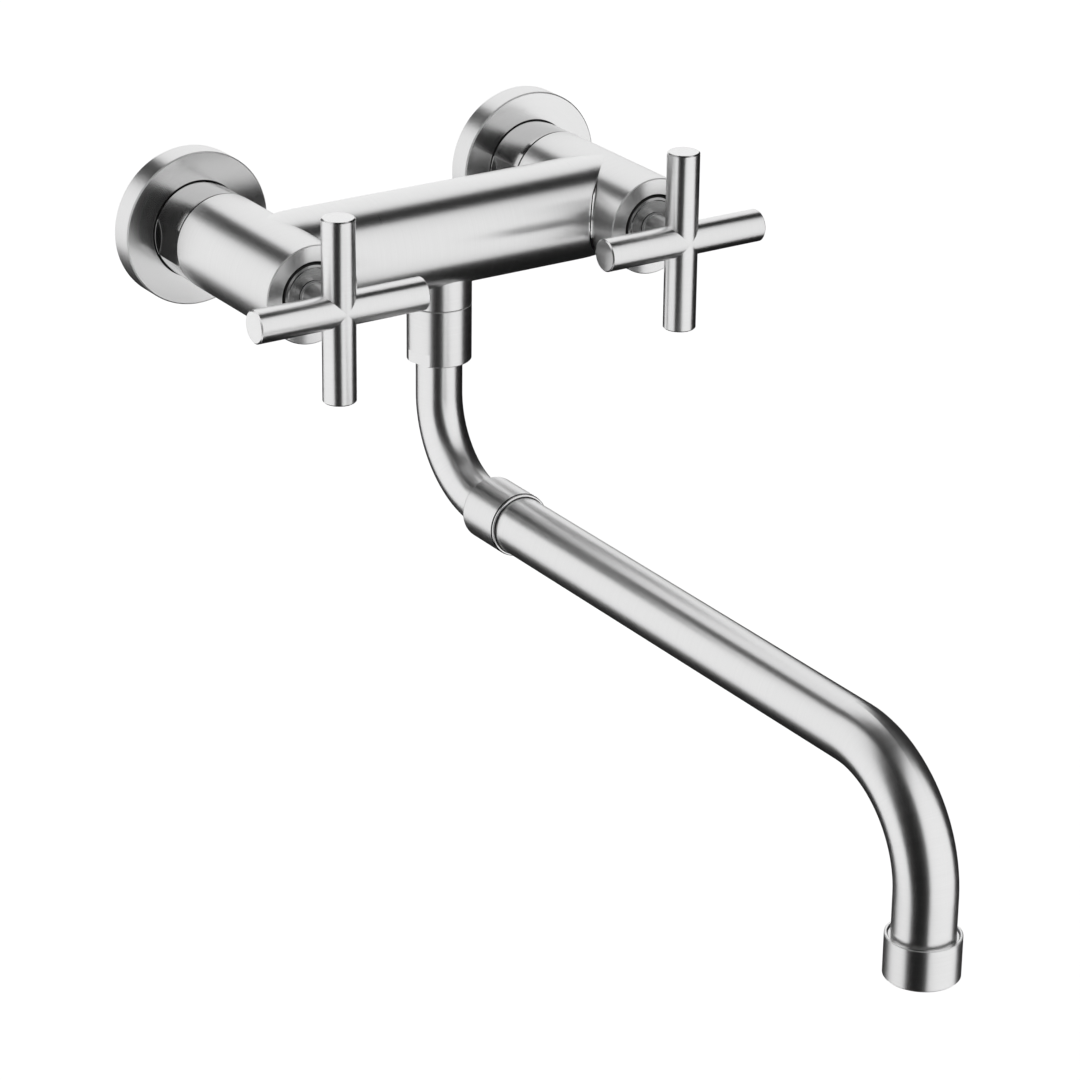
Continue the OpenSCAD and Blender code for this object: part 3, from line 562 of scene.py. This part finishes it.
def round_each_bar(side):
    """Marks that run round whichever bar, or the neck, a point of the handle is on."""
    def coordinates(tree):
        where = node(tree, "TexCoord")
        offset = vector(tree, "SUBTRACT", where.outputs["Object"], (side * ARM_AXIS, -HANDLE_SET, 0))
        parts = node(tree, "SeparateXYZ")
        feed(tree, parts.inputs[0], offset)
        x, y, z = parts.outputs
        neck = maths(tree, "GREATER_THAN", y, BAR_R)
        level = maths(tree, "GREATER_THAN", maths(tree, "ABSOLUTE", x), maths(tree, "ABSOLUTE", z))
        bars = maths(tree, "SUBTRACT", 1.0, neck)
        combined = node(tree, "CombineXYZ")
        feed(tree, combined.inputs[0], maths(tree, "MULTIPLY", level, bars))
        feed(tree, combined.inputs[1], neck)
        feed(tree, combined.inputs[2], maths(tree, "MULTIPLY", maths(tree, "SUBTRACT", 1.0, level), bars))
        axis = combined.outputs[0]
        along = vector(tree, "DOT_PRODUCT", offset, axis)
        across = vector(tree, "SUBTRACT", offset, scaled(tree, axis, along))
        outward = vector(tree, "NORMALIZE", across)
        tangent = on_the_piece(tree, vector(tree, "ADD", axis, scaled(tree, outward, FACE_LEAN)))
        reach = maths(tree, "ADD", along, vector(tree, "LENGTH", across))
        lines = vector(tree, "ADD", scaled(tree, across, BAR_MARK_LENGTH),
                       scaled(tree, axis, maths(tree, "MULTIPLY", reach, BELT_PITCH)))
        facing = maths(tree, "ABSOLUTE", vector(tree, "DOT_PRODUCT", where.outputs["Normal"], axis))
        # Painted shade, at 70 %, on the flared rim at the neck's rear end, its last 0.6 mm.
        painted_rim_shade = maths(tree, "MULTIPLY", maths(tree, "GREATER_THAN", y, NECK_RIM_SHADE_FROM), RIM_SHADE)
        return tangent, lines, maths(tree, "MULTIPLY", facing, bars), painted_rim_shade
    return coordinates


GRUB_R, GRUB_SET, GRUB_IN, GRUB_OUT = 1.5, 0.104, 3.6, 4.8
GRUB_POINT, GRUB_BEVEL = 0.25, 0.15
SOCKET_R, SOCKET_DEEP = 0.75, 0.8
BLACK_STEEL = marked_metal(
    "blackened steel", round_the_axis((0, 0, 1), (0, -GRUB_SET, 0), pitch=4000.0, length=120.0),
    colour=(0.13, 0.13, 0.135), roughness=0.38, spread=0.15, rough_spread=0.08, depth=0.000004, anisotropy=0.2)


def socket_radius(angle):
    """Hexagon of the grub screw's socket, by angle."""
    return SOCKET_R / math.cos((angle % (math.pi / 3)) - math.pi / 6)


for side, hand in ((-1, "left"), (1, "right")):
    dress("handle_" + hand, brushed_steel("brushed steel handle " + hand, round_each_bar(side),
                                          face=0.14, edge=0.25))
    grub = ring_mesh(
        "grub_screw_socket_" + hand,
        [(0, GRUB_IN, 0), (GRUB_R - GRUB_POINT, GRUB_IN, 0), (GRUB_R, GRUB_IN + GRUB_POINT, 0),
         (GRUB_R, GRUB_OUT - GRUB_BEVEL, 0), (GRUB_R - GRUB_BEVEL, GRUB_OUT, 0), (socket_radius, GRUB_OUT, 0),
         (socket_radius, GRUB_OUT - SOCKET_DEEP, 0), (0, GRUB_OUT - SOCKET_DEEP - GRUB_POINT, 0)],
        lambda x, y, z, s=side: Vector((s * ARM_AXIS + x / 1000, -GRUB_SET - y / 1000, -z / 1000)), around=48)
    grub.data.materials.append(BLACK_STEEL)
    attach(grub, "hot_handle" if hand == "left" else "cold_handle")
    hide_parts("grub_screw_" + hand)

# Outlet boss and swivel nut: the boss is brazed under the bridge. The swivel nut runs on its thread and
# carries the spout; its two milled flats show at the lower edge. Slip rings and seals let the spout's
# tail turn in it.

OUTLET_STEEL = brushed_steel("brushed steel outlet", round_the_axis((0, 0, 1), (0, -BRIDGE_SET, 0)))
dress("outlet_boss", OUTLET_STEEL)
dress("swivel_nut", OUTLET_STEEL)
dress("slip_rings", WHITE_NYLON)
dress("tail_seals", SEAL_RUBBER)
dress("spout_tail", turned_brass("tail brass", (0, 0, 1), (0, -BRIDGE_SET, 0)))

# Thin spout tube: drawn stainless tube, bent once from upright to level and brushed round. Its level end
# runs on inside the wide tube and carries a notched nylon guide ring.

MARKS_ACROSS, MARKS_OUTWARD = 40.0, 4.0


def along_the_bend(bend, centre_y, centre_z, upright_first):
    """Marks that run round a tube with one quarter bend, lying in the plane x = 0."""
    def coordinates(tree):
        parts = node(tree, "SeparateXYZ")
        feed(tree, parts.inputs[0], node(tree, "TexCoord").outputs["Object"])
        dy = maths(tree, "SUBTRACT", parts.outputs[1], centre_y)
        dz = maths(tree, "SUBTRACT", parts.outputs[2], centre_z)
        behind, above = (maths(tree, "MAXIMUM", d, 0.0) for d in (dy, dz))
        ahead_of, below = (maths(tree, "MAXIMUM", maths(tree, "MULTIPLY", d, -1.0), 0.0) for d in (dy, dz))
        before, after = (above, ahead_of) if upright_first else (behind, below)
        first, second = (behind, below) if upright_first else (above, ahead_of)
        turn = maths(tree, "ARCTAN2", second, first)
        sine, cosine = maths(tree, "SINE", turn), maths(tree, "COSINE", turn)
        way_y, way_z = (sine, cosine) if upright_first else (cosine, sine)
        way = node(tree, "CombineXYZ")
        feed(tree, way.inputs[1], maths(tree, "MULTIPLY", way_y, -1.0))
        feed(tree, way.inputs[2], maths(tree, "MULTIPLY", way_z, -1.0))
        straight = maths(tree, "SUBTRACT", after, before)
        travel = maths(tree, "ADD", straight, maths(tree, "MULTIPLY", turn, bend))
        rise = maths(tree, "ADD", maths(tree, "MULTIPLY", dy, way_y), maths(tree, "MULTIPLY", dz, way_z))
        lines = node(tree, "CombineXYZ")
        feed(tree, lines.inputs[0], maths(tree, "MULTIPLY", parts.outputs[0], MARKS_ACROSS))
        feed(tree, lines.inputs[1], maths(tree, "MULTIPLY", travel, BELT_PITCH))
        feed(tree, lines.inputs[2], maths(tree, "MULTIPLY", rise, MARKS_OUTWARD))
        return on_the_piece(tree, way.outputs[0]), lines.outputs[0], None, None
    return coordinates


dress("spout_elbow", brushed_steel("brushed steel thin tube", along_the_bend(
    bend=0.035, centre_y=-0.0982, centre_z=-0.0638, upright_first=True)))
dress("guide_ring", WHITE_NYLON)

# Sliding collar: a turned sleeve on the wide tube's rear end. It holds the guide bush and two wiper
# seals, and a thin round rim ring is pressed in its mouth.

LEVEL_Z = -0.0988
# Painted shade on the collar's front 0.15 mm, at the rim ring's seam, and on the rim ring's rear 0.2 mm and
# its inner gap, within 11.55 mm of the axis.
COLLAR_LIT_FROM, RIM_RING_LIT_TO, RIM_RING_GAP_SHADE_R = -0.12055, -0.1211, 0.01155
dress("slide_collar", brushed_steel("brushed steel collar", round_the_axis(
    (0, 1, 0), (0, 0, LEVEL_Z), lit_from=COLLAR_LIT_FROM)))
round_rim = round_the_axis((0, 1, 0), (0, 0, LEVEL_Z), shade_within_r=RIM_RING_GAP_SHADE_R, lit_to=RIM_RING_LIT_TO)
dress("collar_ring", marked_metal(
    "turned steel rim ring", round_rim, colour=(0.8, 0.8, 0.8), roughness=0.14, spread=0.035,
    rough_spread=0.03, depth=0.000001, anisotropy=0.3))
dress("slide_bush", WHITE_NYLON)
dress("slide_seals", SEAL_RUBBER)

# Wide spout tube: drawn stainless tube that slides over the thin one, with the second bend. A brass ring
# stops its travel and a steel rail brazed inside keeps the outlet upright.

dress("spout_tube", brushed_steel("brushed steel wide tube", along_the_bend(
    bend=0.043, centre_y=-0.3309, centre_z=-0.1418, upright_first=False)))
dress("stop_ring", turned_brass("stop ring brass", (0, 1, 0), (0, 0, LEVEL_Z)))
dress("guide_rail", BLACK_STEEL)

# Jet regulator: a threaded ring on the tube's end carries the turned sleeve, which holds a rubber gasket
# and the moulded jet former with its comb of small cells.

OUTLET_Y = -0.3739
MOUTH_STEEL = brushed_steel("brushed steel mouth", round_the_axis((0, 0, 1), (0, OUTLET_Y, 0)))
dress("outlet_adapter", MOUTH_STEEL)
dress("regulator_sleeve", MOUTH_STEEL)
dress("regulator_seal", SEAL_RUBBER)
FORMER_R, FORMER_WALL, FORMER_TOP, FORMER_LOW, FORMER_BEVEL = 11.05, 1.4, 165.6, 170.8, 0.3
CELL_PITCH, CELL_WEB, CELLS_EACH_WAY = 1.75, 0.3, 8
COMB_LOW, COMB_TOP, COMB_R = 170.6, 169.2, 10.95


def jet_former():
    """The former's cup, with a floor of hexagonal cells."""
    def place(x, y, z):
        return Vector((x / 1000, OUTLET_Y - y / 1000, -z / 1000))
    cup = ring_mesh(
        "jet_former_cup",
        [(FORMER_R - FORMER_WALL, FORMER_TOP, 0), (FORMER_R, FORMER_TOP, 0),
         (FORMER_R, FORMER_LOW - FORMER_BEVEL, 0), (FORMER_R - FORMER_BEVEL, FORMER_LOW, 0),
         (FORMER_R - FORMER_WALL, FORMER_LOW, 0)],
        place, closed=True)
    comb = bmesh.new()
    painted_rim_shade, hole = CELL_PITCH / math.sqrt(3), (CELL_PITCH - CELL_WEB) / math.sqrt(3)
    for column in range(-CELLS_EACH_WAY, CELLS_EACH_WAY + 1):
        for row in range(-CELLS_EACH_WAY, CELLS_EACH_WAY + 1):
            cx, cy = CELL_PITCH * (column + row / 2), CELL_PITCH * row * math.sqrt(3) / 2
            if math.hypot(cx, cy) + painted_rim_shade > COMB_R:
                continue
            corners = [math.radians(30 + 60 * k) for k in range(6)]
            loops = [[comb.verts.new(place(cx + r * math.cos(c), cy + r * math.sin(c), z)) for c in corners]
                     for z in (COMB_LOW, COMB_TOP) for r in (painted_rim_shade, hole)]
            for k in range(6):
                n = (k + 1) % 6
                comb.faces.new((loops[0][k], loops[0][n], loops[1][n], loops[1][k]))
                comb.faces.new((loops[1][k], loops[1][n], loops[3][n], loops[3][k]))
                comb.faces.new((loops[3][k], loops[3][n], loops[2][n], loops[2][k]))
    bmesh.ops.remove_doubles(comb, verts=comb.verts, dist=0.00001)
    return cup, finished_piece("jet_former_comb", comb)


for piece in jet_former():
    piece.data.materials.append(WHITE_NYLON)
    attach(piece, "spout_slide")
    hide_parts("jet_former")

# Studio: three rectangular softboxes stand round the mixer in a dark room, over a plain pale floor. The
# room's dark cloth is seen by reflections only, so the mixer stands on plain white.

MIXER_MIDDLE = Vector((0, -0.15, -0.05))


def softbox(name, corner, along, up):
    """A rectangular lamp that looks white in a reflection: one corner and its two sides, in metres."""
    width, height = Vector(along), Vector(up)
    across, rise = width.normalized(), (height - height.project(width)).normalized()
    centre = Vector(corner) + width / 2 + height / 2
    back = across.cross(rise)
    if back.dot(MIXER_MIDDLE - centre) > 0:
        across, back = -across, -back
    lamp = bpy.data.lights.new(name, "AREA")
    lamp.shape = "RECTANGLE"
    lamp.size, lamp.size_y = width.length, height.length
    lamp.energy = math.pi * lamp.size * lamp.size_y
    stand = bpy.data.objects.new(name, lamp)
    bpy.context.scene.collection.objects.link(stand)
    stand.matrix_world = Matrix.Translation(centre) @ Matrix((across, rise, back)).transposed().to_4x4()
    stand.visible_camera = False


softbox("front softbox", corner=(-0.341, -1.167, -0.759),
        along=(1.017, 0.595, -0.091), up=(0.127, 0.094, 2.028))
softbox("left softbox", corner=(-0.603, -0.452, -0.833),
        along=(-0.479, 3.642, -0.528), up=(0.101, 0.293, 1.930))
softbox("rear softbox", corner=(0.121, 1.209, -0.246),
        along=(0.953, -0.351, 0.033), up=(-0.318, -0.719, 1.571))

ROOM_R = 3.4
cloth = bpy.data.materials.new("dark cloth")
cloth.use_nodes = True
shader = cloth.node_tree.nodes["Principled BSDF"]
shader.inputs["Base Color"].default_value = (0.012, 0.012, 0.012, 1)
shader.inputs["Roughness"].default_value = 1.0
shader.inputs["Specular IOR Level"].default_value = 0.0
room = bmesh.new()
bmesh.ops.create_icosphere(room, subdivisions=4, radius=ROOM_R)
room = finished_piece("dark_room", room)
room.data.materials.append(cloth)
room.visible_camera = False
room.visible_diffuse = False


def background_rays(tree):
    """1 for the rays that are meant to meet the plain background."""
    seen = node(tree, "LightPath").outputs
    return maths(tree, "MAXIMUM", seen["Is Camera Ray"],
                 maths(tree, "MAXIMUM", seen["Is Glossy Ray"], seen["Is Transmission Ray"]))


FLOOR_Z, FLOOR_HALF, FLOOR_GLOW = -2.6, 9.0, 0.6
pale = bpy.data.materials.new("pale floor")
pale.use_nodes = True
shader = pale.node_tree.nodes["Principled BSDF"]
shader.inputs["Base Color"].default_value = (0.85, 0.85, 0.85, 1)
shader.inputs["Roughness"].default_value = 0.9
shader.inputs["Emission Color"].default_value = (1, 1, 1, 1)
feed(pale.node_tree, shader.inputs["Emission Strength"],
     maths(pale.node_tree, "MULTIPLY", background_rays(pale.node_tree), FLOOR_GLOW))
sheet = bmesh.new()
sheet.faces.new([sheet.verts.new((x * FLOOR_HALF, y * FLOOR_HALF, FLOOR_Z))
                 for x, y in ((-1, -1), (1, -1), (1, 1), (-1, 1))])
floor = finished_piece("pale_floor", sheet)
floor.data.materials.append(pale)
floor.visible_glossy = False

ROOM_LIGHT = 0.5
surroundings = bpy.data.worlds.new("white surroundings")
bpy.context.scene.world = surroundings
surroundings.use_nodes = True
tree = surroundings.node_tree
background = tree.nodes["Background"].inputs
feed(tree, background["Strength"], maths(tree, "MAXIMUM", background_rays(tree), ROOM_LIGHT))
background["Color"].default_value = (1, 1, 1, 1)
surroundings.cycles.sampling_method = "NONE"

# Camera: it stands where the photograph's stood, to the left, in front of the mixer and above it, with a
# long lens.

CAMERA_PLACE = (-0.76552, -1.307145, 0.499741)
CAMERA_TURN, CAMERA_DIP, CAMERA_ROLL = (math.radians(angle) for angle in (-33.162, 23.188, 0.687))
ahead = Vector((-math.sin(CAMERA_TURN) * math.cos(CAMERA_DIP), math.cos(CAMERA_TURN) * math.cos(CAMERA_DIP),
                -math.sin(CAMERA_DIP)))
right = Vector((math.cos(CAMERA_TURN), math.sin(CAMERA_TURN), 0))
upward = right.cross(ahead)
level = right * math.cos(CAMERA_ROLL) + upward * math.sin(CAMERA_ROLL)
top = upward * math.cos(CAMERA_ROLL) - right * math.sin(CAMERA_ROLL)
camera_data = bpy.data.cameras.new("photo camera")
camera_data.sensor_width = 36.0
camera_data.lens = 135.18
camera_data.clip_start, camera_data.clip_end = 0.05, 60.0
camera = bpy.data.objects.new("photo camera", camera_data)
bpy.context.scene.collection.objects.link(camera)
camera.matrix_world = Matrix.Translation(CAMERA_PLACE) @ Matrix((level, top, -ahead)).transposed().to_4x4()
bpy.context.scene.camera = camera
bpy.context.scene.view_settings.view_transform = "Standard"
